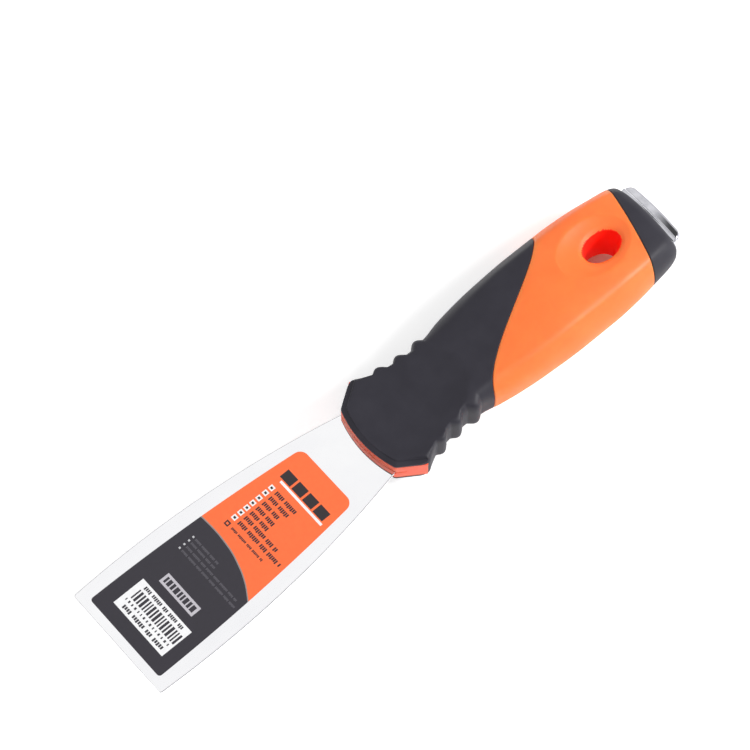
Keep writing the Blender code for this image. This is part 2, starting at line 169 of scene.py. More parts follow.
# Where rings lie along the handle
GRIP_FRONT_X = -14.0
GRIP_FRONT_SPACING = 0.5
RIB_ZONE_X = (4.0, 26.0)
RIB_ZONE_SPACING = 0.22
RIBS_TO_SEAM_STEPS = 90
REAR_GRIP_STEPS = 36
CORE_FRONT_X = -1.0
CORE_BODY_X = 2.0
CORE_TURN_X = 27.0
CORE_FRONT_SPACING = 2.5
CORE_TURN_STEPS = 12
CORE_ROOM_END_X = 94.0
CORE_ROOM_SPACING = 3.0
SEAM_TO_SCOOP_STEPS = 90
SCOOP_ZONE_X = (73.0, 87.0)
SCOOP_ZONE_SPACING = 0.28
SCOOP_TO_SEAM_STEPS = 26

# Dished areas: x, y, height of the rim, half length, half width, depth, rise per mm towards the rear
THUMB_DISH = (4.5, 0.0, 5.5, 14.5, 14.5, 1.0, 0.052)
HOLE_SCOOP = (83.4, 1.3, 10.2, 12.3, 9.3, 2.3, 0.052)
DISH_BLEND = 0.14
DISH_LOWEST_LEVEL = 0.6

# Hanging hole
HOLE_X = 82.2
HOLE_HALF_LENGTH = 6.4
HOLE_HALF_WIDTH = 4.6
HOLE_DRAFT = 0.75
HOLE_MOUTH_Z = 8.0
HOLE_CUTTER_Z = 14.0
HOLE_STEPS = 96
HOLE_ROUND = 0.6
HOLE_ROUND_WIDTH = 1.4
HOLE_WALL = 2.2
# Faces of the core inside this spread of the hole take the painted glow
HOLE_GLOW_SPREAD = 1.03

# Hammer cap
CAP_FRONT_X = 96.6
CAP_END_X = 104.8
CAP_HALF_WIDTH = 11.5
CAP_HALF_HEIGHT = 4.3
CAP_FLOOR_X = 102.4
CAP_WALL = 1.3
CAP_CORNER = 3.4
CAP_CORNER_STEPS = 24
CAP_EDGE = 1.1
CAP_EDGE_STEPS = 7
CAP_SPACING = 0.25
CAP_CROWN = 0.9
CAP_CROWN_STEPS = 32
CAP_SLOPE = 0.03
CAP_BEAD = 0.3
CAP_BEAD_X = 101.6
CAP_BEAD_LENGTH = 0.3
CAP_SMOOTH_ANGLE = 50
BLOCK_START_X = 80.0

# Label artwork. A rectangle is x, y of one corner and x, y of the opposite one
BOW = ((-16.0, -65.3), (-14.3, -64.2), (-9.6, -61.3), (-5.2, -59.5), (1.3, -57.9), (8.1, -57.4),
       (13.4, -57.6), (16.0, -57.9))
BOW_REACH = 16.0
BOW_STEPS = 48
BOW_LINE = 0.4
BEYOND_FRONT_X = -110.0
MARK_BAR = (-33.2, -9.6, -29.9, 8.7)
MARK_LINE = (-34.4, -10.4, -33.6, 7.4)
MARK_BREAKS = tuple((-33.3, y - 0.7, -29.8, y) for y in (4.4, -0.2, -4.8))
PANEL = (-92.9, -11.0, -82.1, 10.2)
SMALL_PANEL = (-79.25, -7.4, -75.65, 6.8)

# Rows of blocks: x and length of each row, y where rows start, the square ahead of each, its middle
NAME_ROWS = ((-37.2, 9.2), (-39.5, 8.0), (-41.9, 6.5), (-44.2, 7.3), (-46.4, 7.3), (-48.6, 14.3),
             (-50.9, 18.2))
NAME_Y = 5.6
LAST_NAME_ROW = (-53.6, 13.5)
NAME_SQUARE_Y = 7.5
NAME_SQUARE = (0.8, 0.8)
NAME_SQUARE_MIDDLE = (0.35, 0.4)
NOTE_ROWS = ((-63.5, 10.1), (-65.1, 10.3), (-66.8, 22.0), (-68.5, 23.0))
NOTE_Y = 9.6
NOTE_SQUARE_Y = 10.6
NOTE_SQUARE = (0.3, 0.3)

# What fills a row: half height, length of a block, blocks in a word
NAME_BLOCKS = (0.78, 0.5, 5)
LAST_NAME_BLOCKS = (0.45, 0.36, 5)
NOTE_BLOCKS = (0.42, 0.3, 6)
BLOCK_PITCH = 1.32
WORD_SPACE = 1.3
WORD_CHANGES = (0, 2, -1, 1)
BLOCK_HEIGHTS = (1.0, 0.72, 0.72, 1.0, 0.72)
BLOCK_TOP = 0.8
ROW_END = 0.3
BAR_LENGTHS = (0.7, 1.15, 0.9, 1.3, 0.8)
BAR_ROW_END = 0.2

# Rows on the panels: x, y, length, then what fills them (bars: half height, mean length, gap)
PANEL_BLOCK_ROWS = ((-83.4, 7.8, 16.4, 0.68, 0.5, 4), (-91.4, 7.6, 17.0, 0.72, 0.62, 4))
PANEL_BAR_ROWS = ((-89.5, 8.8, 19.2, 0.4, 0.5, 0.8), (-86.6, 8.2, 18.6, 1.8, 0.7, 0.45))
SMALL_PANEL_BARS = (-77.45, 6.0, 12.7, 1.05, 1.05, 0.4)
INKS = {"orange": (0.93, 0.145, 0.032), "dark": (0.018, 0.015, 0.024), "line": (0.25, 0.22, 0.21),
        "black": (0.016, 0.009, 0.012), "white": (0.82, 0.82, 0.82), "pale": (0.5, 0.5, 0.52),
        "faint": (0.075, 0.07, 0.085), "panel": (0.85, 0.85, 0.86), "grey": (0.50, 0.48, 0.52),
        "ink": (0.02, 0.017, 0.026)}
INK_DRIFT = 0.94

# Materials: where noise turns into the other colour and gloss, its detail, and a bump without a direction
TINT_RANGE = (0.35, 0.65)
GLOSS_RANGE = (0.3, 0.7)
NOISE_DETAIL = 6.0
GRAIN_DETAIL = 3.0
EVEN = (1.0, 1.0, 1.0)
RED_DEPTHS = (1.0, 0.12, 0.05)
WHITE = (1.0, 1.0, 1.0, 1.0)

# Studio: patches of sky are a direction and two angles in degrees, with the light outside and inside them
SKY = (0.60, 1.0)
SKY_CENTRE = (0.15, 0.20, 0.95)
SKY_SPREAD = (70.0, 25.0)
DARK_CARD = (0.46, -0.16, 0.87)
CARD_SPREAD = (27.5, 13.0)
CARD_LIGHT = (1.0, 0.06)
KEY_LAMP_PLACE = (0.75, -0.66, 0.75)
KEY_LAMP_SIZE = 0.5
KEY_LAMP_WATTS = 13.5
FLOOR_HALF = 2.0
FLOOR_GLOW = 0.35

# A painted shadow on the floor straight below the hanging hole: its glow is off up to the first distance,
# whole from the second
FLOOR_SHADE = (0.006, 0.012)
LENS = 168.0
CLIP_START = 0.05
CAMERA_FROM = (-265.216, -299.203, 916.723)
CAMERA_AT = (6.227, 12.836, 6.256)


# ---------- numbers ----------

def curve(table, x):
    """The smooth curve through the points of a table, for an array of places."""
    place = np.array([p[0] for p in table], float)
    value = np.array([p[1] for p in table], float)
    step = np.diff(place)
    rise = np.diff(value) / step
    slope = np.zeros(len(place))
    before, after = rise[:-1], rise[1:]
    steady = before * after > 0
    slope[1:-1][steady] = (2 * before * after / np.where(steady, before + after, 1.0))[steady]
    x = np.clip(np.asarray(x, float), place[0], place[-1])
    i = np.clip(np.searchsorted(place, x, side="right") - 1, 0, len(step) - 1)
    t = (x - place[i]) / step[i]
    return (value[i] * (1 + 2 * t) * (1 - t) ** 2 + value[i + 1] * t * t * (3 - 2 * t)
            + slope[i] * step[i] * t * (1 - t) ** 2 - slope[i + 1] * step[i] * t * t * (1 - t))


def soft_min(a, b, width):
    """The lower of two heights, blended where they are less than width apart."""
    share = np.clip(0.5 + 0.5 * (b - a) / width, 0, 1)
    return b * (1 - share) + a * share - width * share * (1 - share)


def arc_drop(distance, radius):
    """How far an arc falls away from its tangent at a distance along it."""
    return radius - np.sqrt(np.maximum(radius * radius - distance * distance, 0.0))


def corner_drop(inside, corner, reach=CORNER_REACH):
    """How far a side turns in at a place that lies inside from the end of a rounded corner."""
    return float(arc_drop(min(max(corner - inside, 0.0), corner * reach), corner))


def spaced(start, end, spacing):
    """Places from start to end, with both, about a spacing apart."""
    return list(np.linspace(start, end, max(2, int(round(abs(end - start) / spacing)) + 1)))


def quarter_turn(steps):
    return np.linspace(0, math.pi / 2, steps + 1)


def whole_turn(steps):
    return np.linspace(0, 2 * math.pi, steps + 1)[:-1]


# ---------- meshes ----------

def add_object(name, made):
    """A piece from a bmesh in millimetres, moved to the CAD frame."""
    bmesh.ops.transform(made, matrix=Matrix.Diagonal((MM, MM, MM, 1.0)), verts=made.verts)
    bmesh.ops.translate(made, vec=TO_FRAME, verts=made.verts)
    bmesh.ops.recalc_face_normals(made, faces=made.faces)
    mesh = bpy.data.meshes.new(name)
    made.to_mesh(mesh)
    made.free()
    piece = bpy.data.objects.new(name, mesh)
    bpy.context.scene.collection.objects.link(piece)
    return piece


def tube(made, rings):
    """The side faces through rings of points, all of one length. Returns their loops of vertices."""
    loops = [[made.verts.new(point) for point in points] for points in rings]
    count = len(loops[0])
    for near, far in zip(loops, loops[1:]):
        for i in range(count):
            j = (i + 1) % count
            made.faces.new((near[i], near[j], far[j], far[i]))
    return loops


def loft(name, rings):
    """A closed solid through rings of points, with one flat face over each end."""
    made = bmesh.new()
    loops = tube(made, rings)
    made.faces.new(loops[0])
    made.faces.new(loops[-1])
    return add_object(name, made)


def form(name, rings):
    """A closed solid through rings round the handle, with an upright wall of quads across each end."""
    made = bmesh.new()
    loops = tube(made, rings)
    for loop in (loops[0], loops[-1]):
        partner = [loop[0]] + loop[:UPPER_STEPS:-1] + [loop[UPPER_STEPS]]
        for i in range(UPPER_STEPS):
            corners = [loop[i], loop[i + 1], partner[i + 1], partner[i]]
            made.faces.new([v for k, v in enumerate(corners) if v not in corners[:k]])
    return add_object(name, made)


def prism(name, outline, low, high):
    """A flat outline of (x, y) points, raised from z = low to z = high."""
    return loft(name, [[(x, y, z) for x, y in outline] for z in (low, high)])


def block(name, x_range, half_width, half_height):
    start, end = x_range
    plan = [(start, -half_width), (end, -half_width), (end, half_width), (start, half_width)]
    return prism(name, plan, -half_height, half_height)


def oval(name, x, half_length, half_width):
    """An upright oval column right through the knife."""
    plan = [(x + half_length * math.cos(a), half_width * math.sin(a)) for a in whole_turn(OVAL_STEPS)]
    return prism(name, plan, -FAR, FAR)


def cut(piece, *steps):
    """Cuts with, joins or keeps what is inside each (operation, cutter), and removes the cutters."""
    for operation, other in steps:
        boolean = piece.modifiers.new(other.name, "BOOLEAN")
        boolean.operation = operation
        boolean.solver = "EXACT"
        boolean.object = other
    bpy.context.view_layer.update()
    baked = bpy.data.meshes.new_from_object(piece.evaluated_get(bpy.context.evaluated_depsgraph_get()))
    piece.modifiers.clear()
    piece.data = baked
    for _, other in steps:
        bpy.data.objects.remove(other)
    return piece


def smooth(piece, degrees=SMOOTH_ANGLE):
    """Smooth shading, with edges kept sharp where faces turn by more than the stated angle."""
    piece.data.shade_smooth()
    piece.data.set_sharp_from_angle(angle=math.radians(degrees))


def show(piece, node, slot, *materials):
    """Puts a finished piece in the place of its CAD node."""
    for made in materials:
        piece.data.materials.append(made)
    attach(piece, "root")
    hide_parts(node)


# ---------- the handle's surface ----------

def quarter(x, q, inset_side, inset_top):
    """Points of the upper right quarter at x, for q from the middle of the top to mid height."""
    half = curve(SIDE, x) - inset_side
    top = curve(TOP, x) - inset_top
    ridge_y = np.minimum(curve(RIDGE_Y, x) - inset_side * RIDGE_INSET_SHARE, half - RIDGE_SETBACK)
    ridge_z = top - curve(CROWN, x)
    t = np.clip(q / RIDGE_Q, 0, 1)
    level = 1 - np.clip((q - RIDGE_Q) / (1 - RIDGE_Q), 0, 1)
    flank_y = ridge_y + (half - ridge_y) * (1 - level ** curve(FLANK_POWER, x))
    y = np.where(q < RIDGE_Q, ridge_y * t, flank_y)
    z = np.where(q < RIDGE_Q, top - (top - ridge_z) * t * t, ridge_z * level)
    return y, z


def rounded_quarter(x, q, inset_side, inset_top):
    """The same with its ridge rounded, by averaging nearby points. Past both ends it is mirrored."""
    total_y, total_z = 0.0, 0.0
    middle = len(RIDGE_WEIGHTS) // 2
    for k, weight in enumerate(RIDGE_WEIGHTS):
        moved = q + (k - middle) * RIDGE_SPREAD
        mirrored_y = np.sign(moved) + (moved == 0)
        moved = np.abs(moved)
        mirrored_z = np.where(moved > 1, -1.0, 1.0)
        moved = np.where(moved > 1, 2 - moved, moved)
        y, z = quarter(x, moved, inset_side, inset_top)
        total_y = total_y + weight * y * mirrored_y
        total_z = total_z + weight * z * mirrored_z
    return total_y / sum(RIDGE_WEIGHTS), total_z / sum(RIDGE_WEIGHTS)


def rib(x):
    """How far the upright ribs stand out of the flank."""
    out = np.zeros_like(x)
    for centre in RIB_X:
        off = np.clip(np.abs(x - centre) / RIB_HALF_LENGTH, 0, 1)
        out = out + RIB_HEIGHT * (0.5 + 0.5 * np.cos(np.pi * off)) ** RIB_ROUNDNESS
    return out


def dish(spec, x, y):
    """The floor of a dished area, as a height above the blade's mid plane."""
    centre, aside, rim, half_length, half_width, depth, rise = spec
    spread = ((x - centre) / half_length) ** 2 + ((y - aside) / half_width) ** 2
    return rim - depth * (1 - spread) + rise * (x - centre)


def hole_spread(x, y):
    """1 on the hanging hole's outline, less inside it and more outside."""
    return ((x - HOLE_X) / HOLE_HALF_LENGTH) ** 2 + (y / HOLE_HALF_WIDTH) ** 2


def hole_fillet(x, y):
    """How far the surface drops beside the hanging hole."""
    outside = (np.sqrt(hole_spread(x, y)) - 1) * (HOLE_HALF_LENGTH + HOLE_HALF_WIDTH) / 2
    return HOLE_ROUND * np.clip(1 - outside / HOLE_ROUND_WIDTH, 0, 1) ** 2


def cheek_limit(x):
    """The slanted cheek's line, just outside the nose's outline."""
    slope = (CHEEK_CORNER[1] - NOSE_CORNER[1]) / (CHEEK_CORNER[0] - NOSE_CORNER[0])
    return NOSE_CORNER[1] + HAIR + slope * (x - NOSE_CORNER[0])


def detailed(u, x, y, z):
    """The bare form with its ribs, its cheeks, its dished areas and the lip of the hole."""
    level = np.clip(z / (curve(TOP, x) - curve(CROWN, x)), 0, 1)
    y = y + rib(x) * (1 - level ** RIB_POWER)
    y = soft_min(y, cheek_limit(x), CHEEK_BLEND)
    for spec in (THUMB_DISH, HOLE_SCOOP):
        dished = soft_min(z, dish(spec, x, y * np.sign(u)), DISH_BLEND)
        z = np.where(level > DISH_LOWEST_LEVEL, dished, z)
    return y, z - np.where(level > DISH_LOWEST_LEVEL, hole_fillet(x, y), 0.0)


def upper_points(x, inset, inset_top):
    """One line over the upper half, from +y at mid height to -y. It is bare where inset_top is given."""
    u = np.linspace(1, -1, UPPER_STEPS + 1)
    x = np.broadcast_to(np.asarray(x, float), u.shape)
    y, z = rounded_quarter(x, np.abs(u), inset, inset if inset_top is None else inset_top(x))
    z = np.where(np.abs(u) == 1, 0.0, z)
    if inset_top is None:
        y, z = detailed(u, x, y, z)
    return x, y * np.sign(u), z


def ring(place, inset=0.0, inset_top=None):
    """A closed ring round the handle. place(y) says where along x each of its points is."""
    y = np.zeros(UPPER_STEPS + 1)
    for _ in range(RING_PASSES):
        x, y, z = upper_points(place(y), inset, inset_top)
    over = list(zip(x, y, z))
    return over + [(a, b, -c) for a, b, c in reversed(over[1:-1])]


def seam_x(y):
    """Where the front grip ends, as one S-shaped line across the handle."""
    return SEAM_X + sum(lean * y ** (power + 1) for power, lean in enumerate(SEAM_LEAN))


def rear_seam_x(y):
    return REAR_SEAM_X + REAR_SEAM_LEAN * y


def at(x):
    return lambda y: np.full_like(y, x)


def between(start, end, share):
    return lambda y: start(y) * (1 - share) + end(y) * share


def shifted(place, by):
    return lambda y: place(y) + by


def blend_rings(start, end, count):
    """Rings from start to end, less the two at the ends themselves."""
    return [ring(between(start, end, share)) for share in np.linspace(0, 1, count + 1)[1:-1]]


def rounded_end(seam, side):
    """Rings that round off a piece's edge at a seam; side 1 where the piece lies behind it."""
    rings = []
    for turn in quarter_turn(SEAM_ROUND_STEPS):
        back = SEAM_ROUND * (1 - math.sin(turn)) + SEAM_GAP / 2
        inset = SEAM_ROUND * (1 - math.cos(turn))
        rings.append(ring(shifted(seam, side * back), inset))
    return rings


def core_top(grow):
    """How far the covered core's top lies below the handle's, as a function of x."""
    return lambda x: curve(CORE_INSET_TOP, x) - grow


def core_form(name, grow):
    """The core where the grips cover it, grown on all sides."""
    body = spaced(CORE_BODY_X, CORE_ROOM_END_X, CORE_ROOM_SPACING)
    places = [CORE_FRONT_X - grow] + body + [CAP_FRONT_X + grow]
    return form(name, [ring(at(x), CORE_INSET_SIDE - grow, core_top(grow)) for x in places])


# ---------- nose ----------

def nose_corners(inset):
    """The two corners of one side of the nose, moved inwards by inset."""
    front, rear = Vector(NOSE_CORNER), Vector(CHEEK_CORNER)
    along_cheek = (rear - front).normalized()
    inwards = Vector((along_cheek.y, -along_cheek.x)) * inset
    centre = Vector((NOSE_FRONT_X + NOSE_ARC_RADIUS, 0.0))
    start = front + inwards - centre
    middle = start.dot(along_cheek)
    reach = -middle - math.sqrt(middle ** 2 - start.length_squared + (NOSE_ARC_RADIUS - inset) ** 2)
    return front + inwards + along_cheek * reach, rear + inwards


def nose_outline(inset, rear):
    """The nose seen from above: a bowed front, rounded corners, two slanted cheeks, then rear."""
    front_corner, cheek_corner = nose_corners(inset)
    radius = NOSE_ARC_RADIUS - inset
    middle = NOSE_FRONT_X + NOSE_ARC_RADIUS
    trimmed = math.asin(front_corner.y / radius) - NOSE_ROUND / radius
    bowed = [(middle - radius * math.cos(a), radius * math.sin(a))
             for a in np.linspace(-trimmed, trimmed, NOSE_STEPS + 1)]
    before = Vector(bowed[-1])
    after = front_corner + (cheek_corner - front_corner).normalized() * NOSE_ROUND
    turned = [tuple(before * (1 - t) ** 2 + front_corner * 2 * t * (1 - t) + after * t * t)
              for t in np.linspace(0, 1, NOSE_ROUND_STEPS + 1)[1:]]
    side = [tuple(cheek_corner)] + rear
    mirrored_turn = [(x, -y) for x, y in reversed(turned)]
    return mirrored_turn + bowed + turned + side + [(x, -y) for x, y in reversed(side)]


def nose_clip(name):
    """A tall block in the nose's outline, stepped inwards over the edges of the pads."""
    upper = list(PAD_EDGE) + [(FAR, PAD_EDGE[-1][1])]
    levels = [(-z, inset) for z, inset in reversed(upper)] + upper
    rings = []
    for z, inset in levels:
        beside_cheek = (nose_corners(inset)[1].x + HAIR, FAR)
        rings.append([(x, y, z) for x, y in nose_outline(inset, [beside_cheek, (FAR, FAR)])])
    return loft(name, rings)


def nose_plate(name, grow=0.0, edge=0.0):
    """The core's nose: the band that shows between the two thumb pads."""
    rear = (CHEEK_CORNER[0] + PLATE_OVERLAP + grow, CHEEK_CORNER[1] - PLATE_SETBACK)
    half = BAND_HALF_HEIGHT + grow
    levels = [(-half, edge - grow), (-half + edge, -grow), (half - edge, -grow), (half, edge - grow)]
    if not edge:
        levels = [levels[0], levels[-1]]
    return loft(name, [[(x, y, z) for x, y in nose_outline(inset, [rear])] for z, inset in levels])


# ---------- blade ----------

def blade_half_width(x):
    """The blade's sides bow gently: each is one arc, widest a little behind the front edge."""
    widest = FRONT_WIDTH / 2 + float(arc_drop(WIDEST_FROM_FRONT, SIDE_RADIUS))
    half = widest - float(arc_drop(x - FRONT_X - WIDEST_FROM_FRONT, SIDE_RADIUS))
    return half - corner_drop(x - FRONT_X, BLADE_CORNER, BLADE_CORNER_REACH)


def blade_half_thickness(x):
    """Ground thinner towards the front edge, and even from the nose back."""
    share = min(1.0, (x - FRONT_X) / (NOSE_FRONT_X - FRONT_X))
    return (EDGE_THICKNESS + (BLADE_THICKNESS - EDGE_THICKNESS) * share) / 2


def hole_oval(name, grow):
    return oval(name, HOLE_X, HOLE_HALF_LENGTH + grow, HOLE_HALF_WIDTH + grow)


def blade_ring(x, half):
    """An upright section of the blade, with its four long edges eased."""
    thick, ease, bow_in = blade_half_thickness(x), BLADE_EDGE, BLADE_EDGE * BLADE_EDGE_BOW
    corner = [(half, thick - ease), (half - bow_in, thick - bow_in), (half - ease, thick)]
    upper = corner + [(-y, z) for y, z in reversed(corner)]
    return [(x, y, z) for y, z in upper + [(y, -z) for y, z in reversed(upper)]]


def make_blade():
    """Polished steel with the tang behind it. Its second material is for the ground front edge, with the
    eased edges: steel painted far darker than ground steel, as a painted shade line along them.
    """
    places = [FRONT_X + inside for inside in BLADE_CORNER_PLACES]
    places += spaced(FRONT_X + BLADE_BODY_START, HEEL_X, BLADE_SPACING)
    outline = [(x, blade_half_width(x)) for x in places] + list(TANG)
    blade = loft("blade_fine", [blade_ring(x, half) for x, half in outline])
    anchors = [("DIFFERENCE", oval(f"anchor_{i}", x, ANCHOR_HOLE_RADIUS, ANCHOR_HOLE_RADIUS))
               for i, x in enumerate(ANCHOR_HOLES_X)]
    cut(blade, *anchors, ("DIFFERENCE", hole_oval("tang_opening", HOLE_WALL + HIDDEN_GAP)))
    # The edge faces take the second material, the painted dark shade line
    for face in blade.data.polygons:
        face.material_index = int(abs(face.normal.z) < DARK_EDGE_MAX_Z and abs(face.normal.y) < DARK_EDGE_MAX_Y)
    smooth(blade, BLADE_SMOOTH_ANGLE)
    return blade


def tang_slot():
    """The room that the core keeps for the tang, less the pegs in its holes."""
    half = BLADE_THICKNESS / 2 + HIDDEN_GAP
    heel = (NOSE_FRONT_X - SLOT_LEAD, HEEL_X + HIDDEN_GAP)
    right = [(x, blade_half_width(x) + HIDDEN_GAP) for x in heel]
    right += [(x + way * HIDDEN_GAP, y + HIDDEN_GAP) for (x, y), way in zip(TANG, SLOT_WAYS)]
    right.append((CAP_END_X, right[-1][1]))
    slot = prism("tang_slot", right + [(x, -y) for x, y in reversed(right)], -half, half)
    radius = ANCHOR_HOLE_RADIUS - HIDDEN_GAP
    pegs = [("DIFFERENCE", oval(f"peg_{i}", x, radius, radius)) for i, x in enumerate(ANCHOR_HOLES_X)]
    return cut(slot, *pegs, ("DIFFERENCE", hole_oval("hole_wall", HOLE_WALL)))


# ---------- label ----------

def label_half_width(x):
    half = LABEL_FRONT_HALF_WIDTH - float(arc_drop(x - LABEL_FRONT_X, LABEL_SIDE_RADIUS))
    half -= corner_drop(x - LABEL_FRONT_X, LABEL_FRONT_CORNER)
    return half - corner_drop(LABEL_REAR_X - x, LABEL_REAR_CORNER)


def label_outline():
    places = [LABEL_FRONT_X + LABEL_FRONT_CORNER * share for share in LABEL_CORNER_SHARES]
    places += spaced(LABEL_FRONT_X + LABEL_BODY_START, LABEL_REAR_X - LABEL_BODY_START, LABEL_SPACING)
    places += [LABEL_REAR_X - LABEL_REAR_CORNER * share for share in reversed(LABEL_CORNER_SHARES)]
    side = [(x, label_half_width(x)) for x in places]
    return [(x, -y) for x, y in side] + [(x, y) for x, y in reversed(side)]


def rectangle(x0, y0, x1, y1):
    return [(x0, y0), (x1, y0), (x1, y1), (x0, y1)]


def centred(x, y, half_length, half_width):
    return rectangle(x - half_length, y - half_width, x + half_length, y + half_width)


def bars(ink, x, y, length, half_height, mean, gap):
    """A row of plain bars that runs towards -y from y, in place of a line of text."""
    made, start, i = [], y, 0
    while y - start < length - BAR_ROW_END:
        wide = min(mean * BAR_LENGTHS[i % len(BAR_LENGTHS)], length - (y - start))
        made.append((ink, rectangle(x - half_height, start - wide, x + half_height, start)))
        start -= wide + gap
        i += 1
    return made


def blocks(ink, x, y, length, half_height, size, count):
    """A row of words made of small plain blocks, each word of about count blocks."""
    made, start, i = [], y, 0
    while y - start < length - ROW_END:
        for k in range(count + WORD_CHANGES[i % len(WORD_CHANGES)]):
            if y - start > length - size:
                break
            low = half_height * BLOCK_HEIGHTS[(k + i) % len(BLOCK_HEIGHTS)]
            made.append((ink, rectangle(x - low, start - size, x + half_height * BLOCK_TOP, start)))
            start -= size * BLOCK_PITCH
        start -= size * WORD_SPACE
        i += 1
    return made


def bow(shift):
    """The bowed line between the label's dark and orange areas, from its -y to its +y side."""
    ys = np.linspace(-BOW_REACH, BOW_REACH, BOW_STEPS + 1)
    return list(zip(curve(BOW, ys) + shift, ys))


def base_print():
    """The dark front of the label, the line behind it and the mark's plain bars."""
    front_low, front_high = (BEYOND_FRONT_X, -BOW_REACH), (BEYOND_FRONT_X, BOW_REACH)
    areas = [("dark", [front_low, *bow(0.0), front_high]),
             ("line", bow(0.0) + list(reversed(bow(-BOW_LINE))))]
    areas += [("black", rectangle(*MARK_BAR)), ("white", rectangle(*MARK_LINE))]
    return areas + [("orange", rectangle(*corners)) for corners in MARK_BREAKS]


def row_print():
    """Rows of blocks, each behind a square."""
    areas = []
    for x, length in NAME_ROWS:
        areas.append(("white", centred(x, NAME_SQUARE_Y, *NAME_SQUARE)))
        areas.append(("black", centred(x, NAME_SQUARE_Y, *NAME_SQUARE_MIDDLE)))
        areas += blocks("black", x, NAME_Y, length, *NAME_BLOCKS)
    x, length = LAST_NAME_ROW
    areas.append(("black", centred(x, NAME_SQUARE_Y, *NAME_SQUARE)))
    areas.append(("orange", centred(x, NAME_SQUARE_Y, *NAME_SQUARE_MIDDLE)))
    areas += blocks("black", x, NAME_Y, length, *LAST_NAME_BLOCKS)
    for x, length in NOTE_ROWS:
        areas.append(("pale", centred(x, NOTE_SQUARE_Y, *NOTE_SQUARE)))
        areas += blocks("faint", x, NOTE_Y, length, *NOTE_BLOCKS)
    return areas


def panel_print():
    """The two pale panels with their rows of blocks and bars."""
    areas = [("panel", rectangle(*PANEL))]
    for row in PANEL_BLOCK_ROWS:
        areas += blocks("ink", *row)
    for row in PANEL_BAR_ROWS:
        areas += bars("ink", *row)
    areas.append(("grey", rectangle(*SMALL_PANEL)))
    return areas + bars("ink", *SMALL_PANEL_BARS)


def make_label():
    """A thin printed film. Its top is parted along the outlines of its printed areas, later ones on top."""
    areas = [("orange", label_outline())] + base_print() + row_print() + panel_print()
    points, faces = [], []
    for ink, shape in areas:
        faces.append(list(range(len(points), len(points) + len(shape))))
        points += [Vector(point) for point in shape]
    verts, _, tris, _, _, origin = delaunay_2d_cdt(points, [], faces, 0, LABEL_WELD)
    made = bmesh.new()
    lifted = [made.verts.new((v.x, v.y, blade_half_thickness(v.x) + LABEL_TOP)) for v in verts]
    for tri, sources in zip(tris, origin):
        if 0 in sources:  # area 0 is the label itself, and nothing outside it is printed
            face = made.faces.new([lifted[i] for i in tri])
            face.material_index = list(INKS).index(areas[max(sources)][0])
    bmesh.ops.delete(made, geom=[v for v in made.verts if not v.link_faces], context="VERTS")
    lowered = bmesh.ops.extrude_face_region(made, geom=list(made.faces), use_keep_orig=True)["geom"]
    for item in lowered:
        if isinstance(item, bmesh.types.BMVert):
            item.co.z -= LABEL_TOP - LABEL_BOTTOM
    return add_object("blade_label_fine", made)


# ---------- core and grips ----------

def drafted_hole():
    """The hanging hole, a little narrower at mid height than at its two mouths."""
    levels = ((-HOLE_CUTTER_Z, 0.0), (-HOLE_MOUTH_Z, 0.0), (0, -HOLE_DRAFT), (HOLE_MOUTH_Z, 0.0),
              (HOLE_CUTTER_Z, 0.0))
    rings = []
    for z, grow in levels:
        rings.append([(HOLE_X + (HOLE_HALF_LENGTH + grow) * math.cos(a),
                       (HOLE_HALF_WIDTH + grow) * math.sin(a), z) for a in whole_turn(HOLE_STEPS)])
    return loft("hanging_hole", rings)


def covered_end(y):
    """Where the covered rear of the core ends: at the cap, or just behind the seam where that is further."""
    return np.maximum(CAP_FRONT_X, rear_seam_x(y) - SEAM_GAP / 2 + HAIR)


def core_rings():
    """The covered front, the bare body between the two seams and the covered rear, front to back."""
    hidden = (CORE_INSET_SIDE, core_top(0.0))
    behind, ahead = shifted(seam_x, SEAM_GAP / 2), shifted(rear_seam_x, -SEAM_GAP / 2)
    scoop_start, scoop_end = SCOOP_ZONE_X
    front = [CORE_FRONT_X] + spaced(CORE_BODY_X, CORE_TURN_X, CORE_FRONT_SPACING)
    rings = [ring(at(x), *hidden) for x in front]
    turn = np.linspace(0, 1, CORE_TURN_STEPS + 1)[1:]
    rings += [ring(between(at(CORE_TURN_X), behind, share), *hidden) for share in turn]
    rings += rounded_end(seam_x, 1)[::-1]
    rings += blend_rings(shifted(behind, SEAM_ROUND), at(scoop_start), SEAM_TO_SCOOP_STEPS)
    rings += [ring(at(x)) for x in spaced(scoop_start, scoop_end, SCOOP_ZONE_SPACING)]
    rings += blend_rings(at(scoop_end), shifted(ahead, -SEAM_ROUND), SCOOP_TO_SEAM_STEPS)
    rings += rounded_end(rear_seam_x, -1)
    return rings + [ring(ahead, *hidden), ring(covered_end, *hidden)]


def make_core():
    """The orange core. Its materials are for its body, the wall of the hole, painted deeper red with a
    painted glow, and the band at the nose, painted redder as painted shade.
    """
    core = form("handle_core_fine", core_rings())
    tongue_width, tongue_height = (size - CAP_WALL - HIDDEN_GAP for size in (CAP_HALF_WIDTH, CAP_HALF_HEIGHT))
    tongue = block("core_tongue", (BLOCK_START_X, CAP_FLOOR_X - HIDDEN_GAP), tongue_width, tongue_height)
    cut(core, ("UNION", nose_plate("core_nose", edge=BAND_EDGE)), ("UNION", tongue),
        ("DIFFERENCE", block("cheek_slit", CHEEK_SLIT_X, FAR, CHEEK_SLIT_HALF_HEIGHT)),
        ("DIFFERENCE", tang_slot()), ("DIFFERENCE", drafted_hole()))
    # Faces in the hole's wall get the painted glow, faces of the nose band the painted shade
    for face in core.data.polygons:
        place = (face.center - TO_FRAME) / MM
        in_hole_glow = hole_spread(place.x, place.y) < HOLE_GLOW_SPREAD
        face.material_index = 2 if place.x < BAND_END_X else int(in_hole_glow)
    smooth(core)
    return core


